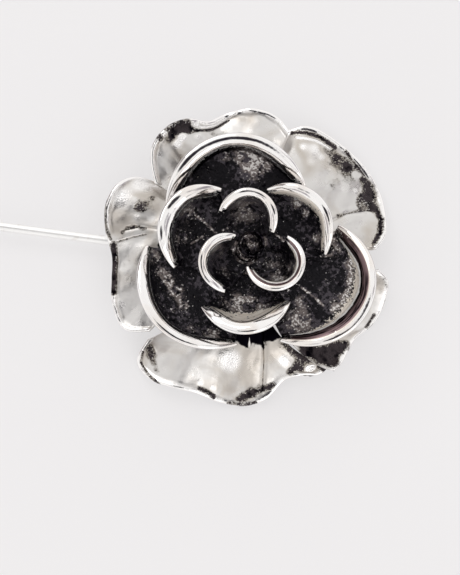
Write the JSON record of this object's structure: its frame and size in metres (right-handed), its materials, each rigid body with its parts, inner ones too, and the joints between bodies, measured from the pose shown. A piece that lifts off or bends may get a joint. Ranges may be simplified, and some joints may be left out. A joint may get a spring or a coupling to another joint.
{
  "type": "hat pin",
  "caption": "Long metal stick pin whose head is an open rose of formed petals, with a push-on friction clutch that covers the point.",
  "frame": {"origin": "centre of the flat underside of the saddle block behind the flower, below the flower's axis", "axes": "+Z is the flower's axis, out of its face; the stem runs along -X to its point; seen from +Z with the stem running to the left, +Y points up"},
  "size_m": [0.1249, 0.0412, 0.0164],
  "materials": {
    "bright_plate": "polished silver-coloured plate over cast and chased metal, with a fine hammered grain and faint veins",
    "darkened_plate": "polished rolled rims over a recess blackened with antique finish, speckled where the polish breaks through",
    "back_plate": "satin silver-coloured plate",
    "stem_steel": "polished drawn wire",
    "clutch_plate": "polished turned metal",
    "grip_nylon": "natural nylon"
  },
  "bodies": {
    "rose_pin": {"outer_petal_top": "bright_plate", "outer_petal_upper_right": "bright_plate", "outer_petal_lower_right": "bright_plate", "outer_petal_bottom": "bright_plate", "outer_petal_left": "bright_plate", "middle_petal_top": "darkened_plate", "middle_petal_left": "darkened_plate", "middle_petal_right": "darkened_plate", "inner_petal_left": "darkened_plate", "inner_petal_right": "darkened_plate", "inner_petal_bottom": "darkened_plate", "centre_petal_top": "darkened_plate", "centre_petal_right": "darkened_plate", "centre_petal_left": "darkened_plate", "outer_disc": "darkened_plate", "middle_disc": "darkened_plate", "inner_disc": "darkened_plate", "centre_disc": "darkened_plate", "centre_rivet": "darkened_plate", "bud": "darkened_plate", "back_pad": "back_plate", "stem_saddle": "back_plate", "pin_stem": "stem_steel"},
    "clutch": {"clutch_barrel": "clutch_plate", "clutch_grip": "grip_nylon", "clutch_cap": "clutch_plate"}
  },
  "joints": [
    {"name": "clutch_slide", "type": "slide", "parent": "rose_pin", "child": "clutch", "axis": [-1, 0, 0], "range_m": [0, 0.014]}
  ]
}
